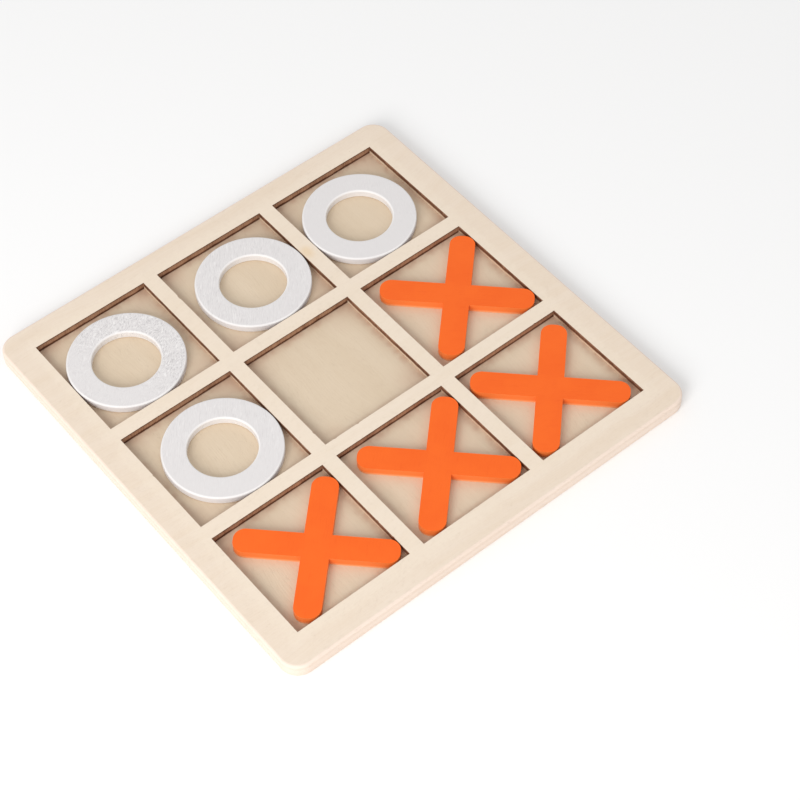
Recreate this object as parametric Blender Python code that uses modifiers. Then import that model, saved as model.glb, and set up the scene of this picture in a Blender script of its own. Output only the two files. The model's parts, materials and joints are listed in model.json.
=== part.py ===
"""Table-top noughts and crosses set: a thin plywood board with nine square recesses, four ring
pieces and four cross pieces.

Frame: metres, +Z up, origin at the centre of the underside. +X and +Y run along the board's sides.
Every playing piece is a loose solid whose own origin is on the vertical line it is lifted along.
"""

import math

import bmesh
import bpy
from mathutils import Matrix, Vector

COLLECTION_NAME = "Noughts_and_crosses_set"
CUTTER_COLLECTION_NAME = "Cutters"

# Board: a solid back panel with a cut-out grid glued on top.
BOARD_SIDE = 0.1510
RIM_WIDTH = 0.00955            # mean of the two opposite rims
BAR_WIDTH = 0.0052
CORNER_RADIUS = 0.0060
PANEL_THICKNESS = 0.0022
GRID_THICKNESS = 0.0027
OUTER_EDGE_ROUNDING = 0.0004
CELLS_PER_SIDE = 3
RECESSES_OFF_CENTRE = (-0.0003, 0.0006)   # the grid of recesses, from the board's centre

# Playing pieces, cut from the same kind of sheet and painted.
PIECE_THICKNESS = 0.0029
NOUGHT_PLAY = 0.0035          # recess side minus ring diameter
NOUGHT_BAND = 0.0078          # outer radius minus hole radius
NOUGHT_EDGE_ROUNDING = 0.0005
NOUGHT_STEPS = 48
CROSS_PLAY = 0.0033           # recess side minus overall width of a cross
CROSS_ARM_WIDTH = 0.00815
CROSS_END_RADIUS = 0.0036
CROSS_END_FLAT = 0.0001       # least flat left on each side of an arm's centre line, at its end
CROSS_EDGE_ROUNDING = 0.0004

# Clearances.
SEAT_GAP = 0.0003             # glue line, and the gap under a piece
WALL_CLEARANCE = 0.0003       # least gap between a piece and a recess wall

# Facets.
CORNER_SEGMENTS = 6
END_SEGMENTS = 5
THROUGH = 0.001               # how far a cutter stands past the face it cuts

# Derived sizes.
CELL_SIDE = (BOARD_SIDE - 2 * RIM_WIDTH - (CELLS_PER_SIDE - 1) * BAR_WIDTH) / CELLS_PER_SIDE
CELL_PITCH = CELL_SIDE + BAR_WIDTH
GRID_BOTTOM = PANEL_THICKNESS + SEAT_GAP
PIECE_BOTTOM = PANEL_THICKNESS + SEAT_GAP
NOUGHT_RADIUS = (CELL_SIDE - NOUGHT_PLAY) / 2
NOUGHT_HOLE_RADIUS = NOUGHT_RADIUS - NOUGHT_BAND
CROSS_WIDTH = CELL_SIDE - CROSS_PLAY

# Where each piece lies: column and row counted from the middle cell, then how far it has slid
# from the middle of its recess towards +X and +Y, as a share of the room it has.
NOUGHT_PLACES = (
    ("nought_1", -1, 1, -1.00, -1.00),
    ("nought_2", 0, 1, 1.00, -1.00),
    ("nought_3", 1, 1, -1.00, -1.00),
    ("nought_4", -1, 0, 1.00, -1.00),
)
CROSS_PLACES = (
    ("cross_1", 1, 0, 1.00, -0.86),
    ("cross_2", -1, -1, 1.00, -0.84),
    ("cross_3", 0, -1, 1.00, -0.83),
    ("cross_4", 1, -1, -0.48, -1.00),
)

# Colour (linear RGB) and roughness of each finish.
PLAIN_WOOD = ((0.80, 0.68, 0.53), 0.62)
PANEL_WOOD = ((0.70, 0.58, 0.43), 0.66)
WHITE_PAINT = ((0.83, 0.82, 0.82), 0.45)
ORANGE_PAINT = ((0.90, 0.13, 0.015), 0.42)


def clear_scene():
    for obj in list(bpy.data.objects):
        bpy.data.objects.remove(obj, do_unlink=True)


def new_collection(name):
    collection = bpy.data.collections.new(name)
    bpy.context.scene.collection.children.link(collection)
    return collection


def evaluated_mesh(obj, name):
    """The object's mesh with its modifiers applied, as a new mesh."""
    bpy.context.view_layer.update()
    graph = bpy.context.evaluated_depsgraph_get()
    mesh = bpy.data.meshes.new_from_object(obj.evaluated_get(graph))
    mesh.name = name
    return mesh


def shade(mesh):
    """Smooth shading with sharp edges kept where faces meet at more than 35 degrees."""
    mesh.shade_smooth()
    mesh.set_sharp_from_angle(angle=math.radians(35))


def give_finish(obj, finish):
    colour, roughness = finish
    material = bpy.data.materials.new(obj.name + "_finish")
    material.use_nodes = True
    shader = material.node_tree.nodes["Principled BSDF"]
    shader.inputs["Base Color"].default_value = (*colour, 1.0)
    shader.inputs["Roughness"].default_value = roughness
    shader.inputs["Metallic"].default_value = 0.0
    if not obj.data.materials:
        obj.data.materials.append(None)
    obj.material_slots[0].link = "OBJECT"
    obj.material_slots[0].material = material


def rounded_plate_mesh(name, size, vertical_radius, vertical_segments, edge_rounding):
    """A box of size (x, y, z), centred in X and Y with its underside at z = 0. Its four vertical
    edges are rounded first, and then the edges of its two faces."""
    shape = bmesh.new()
    bmesh.ops.create_cube(shape, size=1.0)
    bmesh.ops.scale(shape, vec=size, verts=shape.verts)
    bmesh.ops.translate(shape, vec=(0, 0, size[2] / 2), verts=shape.verts)
    upright = [edge for edge in shape.edges if abs(edge.verts[0].co.z - edge.verts[1].co.z) > size[2] / 2]
    bmesh.ops.bevel(
        shape, geom=upright, offset=vertical_radius, segments=vertical_segments,
        profile=0.5, affect="EDGES",
    )
    if edge_rounding > 0:
        around = [
            edge for edge in shape.edges
            if abs(edge.verts[0].co.z - edge.verts[1].co.z) < edge_rounding / 10
        ]
        bmesh.ops.bevel(shape, geom=around, offset=edge_rounding, segments=1, affect="EDGES")
    bmesh.ops.recalc_face_normals(shape, faces=shape.faces)
    mesh = bpy.data.meshes.new(name)
    shape.to_mesh(mesh)
    shape.free()
    return mesh


def add_object(name, mesh, collection, location=(0, 0, 0), parent=None):
    obj = bpy.data.objects.new(name, mesh)
    collection.objects.link(obj)
    obj.location = location
    obj.parent = parent
    return obj


def add_cutter(name, mesh, cutters, location=(0, 0, 0)):
    obj = add_object(name, mesh, cutters, location)
    obj.hide_render = True
    obj.display_type = "WIRE"
    return obj


def cell_centre(column, row):
    off_x, off_y = RECESSES_OFF_CENTRE
    return Vector((column * CELL_PITCH + off_x, row * CELL_PITCH + off_y, 0))


def add_base_panel(parts, datum):
    size = (BOARD_SIDE, BOARD_SIDE, PANEL_THICKNESS)
    mesh = rounded_plate_mesh("base_panel", size, CORNER_RADIUS, CORNER_SEGMENTS, OUTER_EDGE_ROUNDING)
    shade(mesh)
    panel = add_object("base_panel", mesh, parts, parent=datum)
    give_finish(panel, PANEL_WOOD)


def recess_cutter(cutters):
    """Nine square prisms on the cell pitch, as one cutter."""
    shape = bmesh.new()
    height = GRID_THICKNESS + 2 * THROUGH
    reach = CELLS_PER_SIDE // 2
    for row in range(-reach, reach + 1):
        for column in range(-reach, reach + 1):
            centre = cell_centre(column, row) + Vector((0, 0, GRID_THICKNESS / 2))
            made = bmesh.ops.create_cube(shape, size=1.0)
            bmesh.ops.scale(shape, vec=(CELL_SIDE, CELL_SIDE, height), verts=made["verts"])
            bmesh.ops.translate(shape, vec=centre, verts=made["verts"])
    mesh = bpy.data.meshes.new("recess_cutter")
    shape.to_mesh(mesh)
    shape.free()
    return add_cutter("recess_cutter", mesh, cutters, (0, 0, GRID_BOTTOM))


def add_grid_frame(parts, cutters, datum):
    size = (BOARD_SIDE, BOARD_SIDE, GRID_THICKNESS)
    mesh = rounded_plate_mesh("grid_frame", size, CORNER_RADIUS, CORNER_SEGMENTS, OUTER_EDGE_ROUNDING)
    grid = add_object("grid_frame", mesh, parts, (0, 0, GRID_BOTTOM), datum)
    recesses = grid.modifiers.new("recesses", "BOOLEAN")
    recesses.operation = "DIFFERENCE"
    recesses.solver = "EXACT"
    recesses.object = recess_cutter(cutters)
    give_finish(grid, PLAIN_WOOD)


def nought_mesh(cutters):
    """The ring: a chamfered rectangle turned about the vertical axis."""
    inner, outer = NOUGHT_HOLE_RADIUS, NOUGHT_RADIUS
    top, soft = PIECE_THICKNESS, NOUGHT_EDGE_ROUNDING
    section = (
        (inner + soft, top), (outer - soft, top), (outer, top - soft), (outer, soft),
        (outer - soft, 0), (inner + soft, 0), (inner, soft), (inner, top - soft),
    )
    profile = bpy.data.meshes.new("nought_profile")
    edges = [(i, (i + 1) % len(section)) for i in range(len(section))]
    profile.from_pydata([(radius, 0, height) for radius, height in section], edges, [])
    turned = add_cutter("nought_profile", profile, cutters)
    screw = turned.modifiers.new("turn", "SCREW")
    screw.axis = "Z"
    screw.angle = math.tau
    screw.steps = screw.render_steps = NOUGHT_STEPS
    screw.use_merge_vertices = True
    screw.merge_threshold = 0.00001
    mesh = evaluated_mesh(turned, "nought")
    bpy.data.objects.remove(turned, do_unlink=True)
    shade(mesh)
    return mesh


def cross_mesh(cutters):
    """Two round-ended bars joined at right angles, turned so that their ends point to the corners."""
    diagonal = math.sqrt(2)
    # An end's two corner arcs share the arm's width, so the arm limits their radius.
    end_radius = min(CROSS_END_RADIUS, CROSS_ARM_WIDTH / 2 - CROSS_END_FLAT)
    # The end's corner arcs reach CROSS_WIDTH / 2 along X, which fixes how long the bar is.
    arc_centre_reach = diagonal * (CROSS_WIDTH / 2 - end_radius)
    half_length = arc_centre_reach - CROSS_ARM_WIDTH / 2 + 2 * end_radius
    size = (2 * half_length, CROSS_ARM_WIDTH, PIECE_THICKNESS)
    bars = []
    for name, angle in (("cross_bar_a", math.radians(45)), ("cross_bar_b", math.radians(-45))):
        mesh = rounded_plate_mesh(name, size, end_radius, END_SEGMENTS, 0)
        mesh.transform(Matrix.Rotation(angle, 4, "Z"))
        bars.append(add_cutter(name, mesh, cutters))
    first, second = bars
    join = first.modifiers.new("join", "BOOLEAN")
    join.operation = "UNION"
    join.solver = "EXACT"
    join.object = second
    soften = first.modifiers.new("soften", "BEVEL")
    soften.width = CROSS_EDGE_ROUNDING
    soften.segments = 1
    soften.limit_method = "ANGLE"
    soften.angle_limit = math.radians(80)
    soften.use_clamp_overlap = True
    mesh = evaluated_mesh(first, "cross")
    for bar in bars:
        bpy.data.objects.remove(bar, do_unlink=True)
    shade(mesh)
    return mesh


def add_pieces(places, mesh, play, finish, parts, datum):
    """One object for each playing piece, at its place in its recess."""
    room = play / 2 - WALL_CLEARANCE
    for name, column, row, slid_x, slid_y in places:
        location = cell_centre(column, row) + Vector((slid_x * room, slid_y * room, PIECE_BOTTOM))
        piece = add_object(name, mesh, parts, location, datum)
        give_finish(piece, finish)


def main():
    clear_scene()
    parts = new_collection(COLLECTION_NAME)
    cutters = new_collection(CUTTER_COLLECTION_NAME)
    datum = add_object("board_datum", None, parts)
    add_base_panel(parts, datum)
    add_grid_frame(parts, cutters, datum)
    add_pieces(NOUGHT_PLACES, nought_mesh(cutters), NOUGHT_PLAY, WHITE_PAINT, parts, datum)
    add_pieces(CROSS_PLACES, cross_mesh(cutters), CROSS_PLAY, ORANGE_PAINT, parts, datum)


main()
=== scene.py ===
"""Looks of a table-top noughts and crosses set: a laser-cut basswood board with nine recesses, four
white painted rings and four orange painted crosses. It is laid out as a Blender add-on and is run
as a script. Metres, +Z up, with the origin at the centre of the board's underside."""

import json
import math
from typing import NamedTuple

import bmesh
import bpy
from bpy.props import FloatProperty, FloatVectorProperty, IntProperty, PointerProperty
from mathutils import Matrix, Vector, noise


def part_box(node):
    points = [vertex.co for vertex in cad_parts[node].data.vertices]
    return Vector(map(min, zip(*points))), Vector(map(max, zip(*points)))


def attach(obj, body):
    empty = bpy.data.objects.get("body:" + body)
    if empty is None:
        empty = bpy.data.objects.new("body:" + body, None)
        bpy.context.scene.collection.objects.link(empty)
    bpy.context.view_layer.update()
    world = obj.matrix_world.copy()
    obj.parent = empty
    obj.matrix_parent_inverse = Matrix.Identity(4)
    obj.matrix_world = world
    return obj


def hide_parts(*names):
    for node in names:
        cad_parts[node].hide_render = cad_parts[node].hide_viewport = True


bl_info = {
    "name": "Noughts and Crosses Set",
    "version": (1, 0, 0),
    "blender": (4, 5, 0),
    "location": "3D View > Sidebar > Noughts and Crosses",
    "description": "Makes a plywood noughts and crosses board with its painted pieces",
    "category": "Add Mesh",
}

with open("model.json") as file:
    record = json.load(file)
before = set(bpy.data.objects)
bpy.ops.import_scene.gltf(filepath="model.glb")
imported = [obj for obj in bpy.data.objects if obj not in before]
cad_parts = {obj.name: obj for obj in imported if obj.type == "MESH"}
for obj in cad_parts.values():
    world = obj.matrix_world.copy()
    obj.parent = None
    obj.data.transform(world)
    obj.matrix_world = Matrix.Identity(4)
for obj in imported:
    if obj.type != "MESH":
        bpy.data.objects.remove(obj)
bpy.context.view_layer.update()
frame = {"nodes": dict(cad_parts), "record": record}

MM = 0.001
BOARD_BODY = "board"
NOUGHT_NODES = sorted(name for name in frame["nodes"] if name.startswith("nought_"))
CROSS_NODES = sorted(name for name in frame["nodes"] if name.startswith("cross_"))
CELLS_PER_SIDE = 3

PANEL_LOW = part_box("base_panel")[0]
GRID_LOW, GRID_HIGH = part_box("grid_frame")
NOUGHT_LOW, NOUGHT_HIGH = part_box(NOUGHT_NODES[0])
CROSS_LOW, CROSS_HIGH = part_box(CROSS_NODES[0])
BOARD_SIDE = GRID_HIGH.x - GRID_LOW.x


def wall_lines(axis):
    """Where the recess walls stand along X (axis 0) or Y (axis 1), in order. They are the grid's
    vertices nearest the middle, inside those of its rounded corners."""
    spots = {round(vertex.co[axis], 5) for vertex in frame["nodes"]["grid_frame"].data.vertices}
    return sorted(sorted(spots, key=abs)[:2 * CELLS_PER_SIDE])


X_WALLS = wall_lines(0)
Y_WALLS = wall_lines(1)
MIDDLE = CELLS_PER_SIDE - 1          # the middle recess's first wall, in either list
CELL_SIDE = X_WALLS[MIDDLE + 1] - X_WALLS[MIDDLE]
CELL_PITCH = X_WALLS[MIDDLE + 2] - X_WALLS[MIDDLE]
RECESS_CENTRE = Vector((
    (X_WALLS[MIDDLE] + X_WALLS[MIDDLE + 1]) / 2, (Y_WALLS[MIDDLE] + Y_WALLS[MIDDLE + 1]) / 2, 0.0
))

# The two sheets are glued and the pieces lie on the panel, so the looks close all but this
# much of the clearance that the solids keep there.
CONTACT_GAP = 0.02 * MM
SHEET_SEAM = GRID_LOW.z
PANEL_TOP = SHEET_SEAM - CONTACT_GAP
PLIES = 3

# How finely the meshes are made, and how close points of one solid are welded.
OUTLINE_SPACING = 1.2 * MM
CORNER_STEPS = 24
WOBBLES_PER_METRE = 160
RING_FILLET_STEPS = 8
CROSS_EDGE_STEPS = 5
SHARPEST_SMOOTH_EDGE = math.radians(60)
WELD_DISTANCE = 0.001 * MM

SENSOR_WIDTH = 36.0
NEAR_CLIP = 10 * MM
KEY_COLOUR = (1.0, 0.985, 0.97)


# ---------------------------------------------------------------------------------------------
# Settings
# ---------------------------------------------------------------------------------------------


def distance(name, description, default):
    return FloatProperty(
        name=name, description=description, default=default, min=0.0, unit="LENGTH", precision=5
    )


def colour(name, description, default):
    return FloatVectorProperty(
        name=name, description=description, default=default, size=3, min=0.0, max=1.0,
        subtype="COLOR",
    )


class BoardSettings(bpy.types.PropertyGroup):
    """Sizes and colours of the two plywood sheets."""

    corner_radius: distance("Corner Radius", "Radius of the board's four corners", 6.0 * MM)
    face_rounding: distance("Face Rounding", "Sanded radius where the faces meet the edge", 0.75 * MM)
    seam_rounding: distance("Seam Rounding", "Radius of the edges that meet at the glue seam", 0.02 * MM)
    groove_depth: distance("Ply Groove", "Depth of the fine groove between two plies", 0.012 * MM)
    sanding_wobble: distance("Sanding Wobble", "How far hand sanding strays from the outline", 0.05 * MM)
    striation_pitch: distance("Striation Pitch", "Spacing of the marks a laser leaves on a wall", 0.32 * MM)
    striation_depth: distance("Striation Depth", "Depth of the marks a laser leaves on a wall", 0.045 * MM)
    nick_depth: distance("Nick Depth", "Depth of the few nicks in a recess's upper edge", 0.22 * MM)
    # Reach of the smoke stain and painted shade round each wall.
    haze_and_shade_reach: distance("Haze Reach", "How far smoke has stained the wood round a wall", 3.5 * MM)
    wall_columns: IntProperty(
        name="Wall Columns", description="Mesh columns along one recess wall", default=150, min=8
    )
    wall_rows: IntProperty(
        name="Wall Rows", description="Mesh rows up one recess wall", default=10, min=4
    )
    pale_wood: colour("Pale Wood", "Lightest colour of the grid's face", (0.850, 0.728, 0.605))
    streak_wood: colour("Streak Wood", "Colour of the grain in the grid's face", (0.785, 0.640, 0.490))
    pale_panel: colour("Pale Panel", "Lightest colour of the panel", (0.750, 0.618, 0.465))
    streak_panel: colour("Streak Panel", "Colour of the grain in the panel", (0.675, 0.535, 0.380))
    pale_edge: colour("Pale Edge", "Lightest colour of the sanded outer edge", (0.885, 0.745, 0.640))
    streak_edge: colour("Streak Edge", "Colour of the grain in the outer edge", (0.830, 0.675, 0.560))
    core_wood: colour("Core Wood", "Colour of the crosswise middle ply", (0.66, 0.49, 0.33))
    char: colour("Char", "Darkest scorch on a laser-cut wall", (0.085, 0.031, 0.014))
    scorch: colour("Scorch", "Usual brown of a laser-cut wall", (0.225, 0.103, 0.056))
    # Smoke stain and painted shade at the foot of a wall.
    haze_and_shade: colour("Haze", "Smoke stain on the panel at the foot of a wall", (0.56, 0.36, 0.25))
    toast: colour("Toast", "Lightest scorch on a laser-cut wall", (0.430, 0.245, 0.150))


class NoughtSettings(bpy.types.PropertyGroup):
    """Sizes and colours of the ring pieces."""

    band_width: distance("Band Width", "Outer radius minus hole radius", 7.8 * MM)
    edge_rounding: distance("Edge Rounding", "Radius of the four edges of a ring", 0.55 * MM)
    turn_steps: IntProperty(name="Turn Steps", description="Mesh steps round a ring", default=240, min=24)
    section_steps: IntProperty(
        name="Section Steps", description="Mesh steps round a ring's section", default=96, min=24
    )
    relief: distance("Relief", "Height of the wood grain that shows through the paint", 0.05 * MM)
    paint: colour("Paint", "White paint", (0.768, 0.742, 0.740))
    # Painted shade: greyer paint in the hollows of the grain.
    hollow_shade: colour("Hollow", "Greyer paint in the hollows of the grain", (0.615, 0.590, 0.592))
    # Painted highlight: brighter paint on ridges and rounded edges.
    ridge_highlight: colour("Ridge", "Brighter paint on ridges and edges", (0.900, 0.880, 0.870))


class CrossSettings(bpy.types.PropertyGroup):
    """Sizes and colours of the cross pieces."""

    arm_width: distance("Arm Width", "Width of one arm", 8.15 * MM)
    end_radius: distance("End Radius", "Radius of the two corners at an arm's end", 3.6 * MM)
    edge_rounding: distance("Edge Rounding", "Radius of the edges of both faces", 0.28 * MM)
    end_steps: IntProperty(name="End Steps", description="Mesh steps round a corner", default=14, min=3)
    paint: colour("Paint", "Orange paint on the face", (0.960, 0.150, 0.015))
    deep: colour("Deep", "Darker orange where the paint lies thick", (0.900, 0.118, 0.011))
    # Painted light: paler orange on the upright sides.
    lit_sides: colour("Soaked", "Paler orange where the cut sides drank the paint", (0.930, 0.200, 0.040))
    # Lighter orange at the rounded edges: thin paint, with a painted highlight.
    thin: colour("Thin", "Lighter orange where the paint is thin, at edges", (0.980, 0.380, 0.110))


class StageSettings(bpy.types.PropertyGroup):
    """The floor, the lights and the camera."""

    floor_side: distance("Floor Side", "Side of the square floor", 3.0)
    floor_colour: colour("Floor Colour", "Colour of the floor", (0.97, 0.97, 0.97))
    fill: FloatProperty(
        name="Fill", description="Strength of the even white surroundings", default=0.745, min=0.0
    )
    key_power: FloatProperty(
        name="Key Power", description="Power of the soft key light", default=5.85, min=0.0, unit="POWER"
    )
    key_distance: distance("Key Distance", "From the board to the key light", 1.0)
    key_side: distance("Key Side", "Side of the square key light", 0.51)
    key_azimuth: FloatProperty(
        name="Key Azimuth", description="Direction of the key light, from +X towards +Y",
        default=math.radians(207), subtype="ANGLE",
    )
    key_elevation: FloatProperty(
        name="Key Elevation", description="Height of the key light above the board's plane",
        default=math.radians(31), subtype="ANGLE",
    )
    view_azimuth: FloatProperty(
        name="View Azimuth", description="Turn of the view from +Y towards +X",
        default=math.radians(38.24), subtype="ANGLE",
    )
    view_elevation: FloatProperty(
        name="View Elevation", description="Height of the camera above the board's plane",
        default=math.radians(52.98), subtype="ANGLE",
    )
    view_roll: FloatProperty(
        name="View Roll", description="Turn of the camera about its own axis",
        default=math.radians(-1.365), subtype="ANGLE",
    )
    view_distance: distance("View Distance", "From the aim point to the camera", 0.6411)
    aim_x: FloatProperty(
        name="Aim X", description="Aim point on the board's face, from its centre",
        default=6.92 * MM, unit="LENGTH",
    )
    aim_y: FloatProperty(
        name="Aim Y", description="Aim point on the board's face, from its centre",
        default=-21.05 * MM, unit="LENGTH",
    )
    lens: FloatProperty(
        name="Lens", description="Focal length on a 36 mm sensor", default=95.81, min=1.0, unit="CAMERA"
    )


# ---------------------------------------------------------------------------------------------
# Node wiring
# ---------------------------------------------------------------------------------------------


class Wiring:
    """Adds nodes to a tree and joins them. A value is a number, a tuple or another node's output."""

    def __init__(self, tree):
        self.tree = tree

    def feed(self, socket, value):
        if isinstance(value, bpy.types.NodeSocket):
            self.tree.links.new(value, socket)
        elif value is not None:
            socket.default_value = value

    def add(self, kind, settings=None, inputs=None):
        node = self.tree.nodes.new(kind)
        for name, value in (settings or {}).items():
            setattr(node, name, value)
        for name, value in (inputs or {}).items():
            self.feed(node.inputs[name], value)
        return node

    def math(self, operation, first, second=None, third=None, clamp=False):
        settings = {"operation": operation, "use_clamp": clamp}
        node = self.add("ShaderNodeMath", settings, {0: first, 1: second})
        if third is not None:
            self.feed(node.inputs[2], third)
        return node.outputs[0]

    def times(self, first, second, clamp=False):
        return self.math("MULTIPLY", first, second, clamp=clamp)

    def plus(self, first, second):
        return self.math("ADD", first, second)

    def minus(self, first, second):
        return self.math("SUBTRACT", first, second)

    def over(self, first, second, clamp=False):
        return self.math("DIVIDE", first, second, clamp=clamp)

    def times_plus(self, value, factor, extra):
        """value times factor, plus extra."""
        return self.math("MULTIPLY_ADD", value, factor, extra)

    def vector(self, operation, first, second=None, scale=None):
        node = self.add("ShaderNodeVectorMath", {"operation": operation}, {0: first})
        if second is not None:
            self.feed(node.inputs[1], second)
        if scale is not None:
            self.feed(node.inputs["Scale"], scale)
        return node.outputs["Value" if operation in ("LENGTH", "DOT_PRODUCT") else "Vector"]

    def parts(self, vector):
        """The X, Y and Z outputs of a vector."""
        node = self.add("ShaderNodeSeparateXYZ", inputs={"Vector": vector})
        return node.outputs["X"], node.outputs["Y"], node.outputs["Z"]

    def join(self, x, y, z):
        return self.add("ShaderNodeCombineXYZ", inputs={"X": x, "Y": y, "Z": z}).outputs["Vector"]

    def smooth(self, value, low, high):
        """0 where value is low, 1 where it is high, and smooth between. low may be over high."""
        node = self.add(
            "ShaderNodeMapRange", {"interpolation_type": "SMOOTHSTEP"},
            {"Value": value, "From Min": low, "From Max": high},
        )
        return node.outputs["Result"]

    def noise(self, vector, scale=1.0, detail=2.0, roughness=0.5):
        inputs = {"Vector": vector, "Scale": scale, "Detail": detail, "Roughness": roughness}
        return self.add("ShaderNodeTexNoise", {"noise_dimensions": "3D"}, inputs).outputs["Fac"]

    def mix(self, amount, first, second):
        node = self.add("ShaderNodeMix", {"data_type": "RGBA"})
        self.feed(node.inputs["Factor"], amount)
        self.feed(node.inputs[6], first)
        self.feed(node.inputs[7], second)
        return node.outputs[2]

    def tint(self, surface, mask, strength, colour):
        """The surface with an (r, g, b) colour laid over it where the mask is 1."""
        return self.mix(self.times(mask, strength), surface, rgba(colour))

    def stretched(self, place, width, length_ratio):
        """A noise place whose spots are width across the grain, and length_ratio times that along
        it. place is its x, y and z."""
        x, y, z = place
        across = self.over(1.0, width)
        along = self.over(across, length_ratio)
        return self.join(self.times(x, along), self.times(y, across), self.times(z, across))

    def group(self, tree, inputs):
        kind = "ShaderNodeGroup" if tree.bl_idname == "ShaderNodeTree" else "GeometryNodeGroup"
        node = self.add(kind)
        node.node_tree = tree
        for name, value in inputs.items():
            self.feed(node.inputs[name], value)
        return node


def rgba(rgb):
    return (*rgb, 1.0)


def new_group(name, kind, inputs, outputs):
    """A node group with named sockets, and its Wiring, Group Input and Group Output nodes.
    Each socket is (name, what it carries, default or None)."""
    tree = bpy.data.node_groups.new(name, kind)
    for side, sockets in (("INPUT", inputs), ("OUTPUT", outputs)):
        for socket_name, carries, default in sockets:
            socket_type = "NodeSocket" + carries
            socket = tree.interface.new_socket(socket_name, in_out=side, socket_type=socket_type)
            if default is not None:
                socket.default_value = default
    wiring = Wiring(tree)
    return tree, wiring, wiring.add("NodeGroupInput").outputs, wiring.add("NodeGroupOutput").inputs


# ---------------------------------------------------------------------------------------------
# Shared effects, as shader node groups
# ---------------------------------------------------------------------------------------------


def make_basswood_group():
    """Fine, even basswood: soft growth bands, fibres and short pores, all running along X."""
    tree, w, given, result = new_group(
        "Basswood Grain", "ShaderNodeTree",
        [
            ("Vector", "Vector", None),
            ("Pale", "Color", (0.84, 0.71, 0.57, 1)),
            ("Streak", "Color", (0.75, 0.59, 0.43, 1)),
            ("Band Width", "Float", 4.5 * MM),
            ("Fibre Width", "Float", 0.32 * MM),
            ("Contrast", "Float", 0.6),
        ],
        [("Color", "Color", None), ("Height", "Float", None)],
    )
    x, y, z = w.parts(given["Vector"])
    drift = w.noise(given["Vector"], 18.0, 2.0)
    y = w.times_plus(w.minus(drift, 0.5), 14 * MM, y)
    bent = (x, y, z)
    bands = w.smooth(w.noise(w.stretched(bent, given["Band Width"], 22.0), 1.0, 3.0, 0.55), 0.36, 0.68)
    fibres = w.noise(w.stretched(bent, given["Fibre Width"], 26.0), 1.0, 2.0, 0.6)
    pore_width = w.times(given["Fibre Width"], 0.42)
    pores = w.smooth(w.noise(w.stretched(bent, pore_width, 9.0), 1.0, 1.0), 0.64, 0.74)
    blotches = w.smooth(w.noise(given["Vector"], 46.0, 2.0), 0.35, 0.7)
    dark = w.times(bands, 0.42)
    dark = w.times_plus(w.smooth(fibres, 0.35, 0.75), 0.40, dark)
    dark = w.times_plus(pores, 0.40, dark)
    dark = w.times_plus(blotches, 0.22, dark)
    shade = w.times(dark, given["Contrast"], clamp=True)
    w.feed(result["Color"], w.mix(shade, given["Pale"], given["Streak"]))
    height = w.times_plus(pores, -0.8, w.times(fibres, 0.9))
    w.feed(result["Height"], height)
    return tree


def make_wall_distance_group():
    """Distance outside the nearest recess wall line, and inside it, in metres, seen from above and
    measured from the middle recess. Across X is 1 where that wall stands across X, and Corner is
    the distance to the nearest corner of a recess."""
    tree, w, given, result = new_group(
        "Recess Wall Distance", "ShaderNodeTree",
        [
            ("Vector", "Vector", None),
            ("Cell Side", "Float", CELL_SIDE),
            ("Cell Pitch", "Float", CELL_PITCH),
        ],
        [
            ("Outside", "Float", None),
            ("Inside", "Float", None),
            ("Across X", "Float", None),
            ("Corner", "Float", None),
        ],
    )
    x, y, _ = w.parts(given["Vector"])
    reach = CELLS_PER_SIDE // 2
    past = []
    for value in (x, y):
        cell = w.math("ROUND", w.over(value, given["Cell Pitch"]))
        cell = w.math("MAXIMUM", w.math("MINIMUM", cell, reach), -reach)
        centre = w.times(cell, given["Cell Pitch"])
        off = w.math("ABSOLUTE", w.minus(value, centre))
        past.append(w.minus(off, w.times(given["Cell Side"], 0.5)))
    signed = w.math("MAXIMUM", past[0], past[1])
    w.feed(result["Outside"], signed)
    w.feed(result["Inside"], w.times(signed, -1.0))
    w.feed(result["Across X"], w.math("GREATER_THAN", past[0], past[1]))
    w.feed(result["Corner"], w.vector("LENGTH", w.join(past[0], past[1], 0.0)))
    return tree


def make_specks_group():
    """Sparse tiny specks, such as dust, pin knots or paint nibs: 1 on a speck and 0 off it."""
    tree, w, given, result = new_group(
        "Specks", "ShaderNodeTree",
        [
            ("Vector", "Vector", None),
            ("Spacing", "Float", 6.0 * MM),
            ("Radius", "Float", 0.16 * MM),
        ],
        [("Mask", "Float", None)],
    )
    scale = w.over(1.0, given["Spacing"])
    cells = w.add(
        "ShaderNodeTexVoronoi", {"voronoi_dimensions": "3D"}, {"Vector": given["Vector"], "Scale": scale}
    )
    size = w.over(given["Radius"], given["Spacing"])
    pick = w.parts(cells.outputs["Color"])[0]
    size = w.times(size, w.smooth(pick, 0.2, 1.0))
    edge = w.times(size, 0.45)
    w.feed(result["Mask"], w.smooth(cells.outputs["Distance"], size, edge))
    return tree


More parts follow.
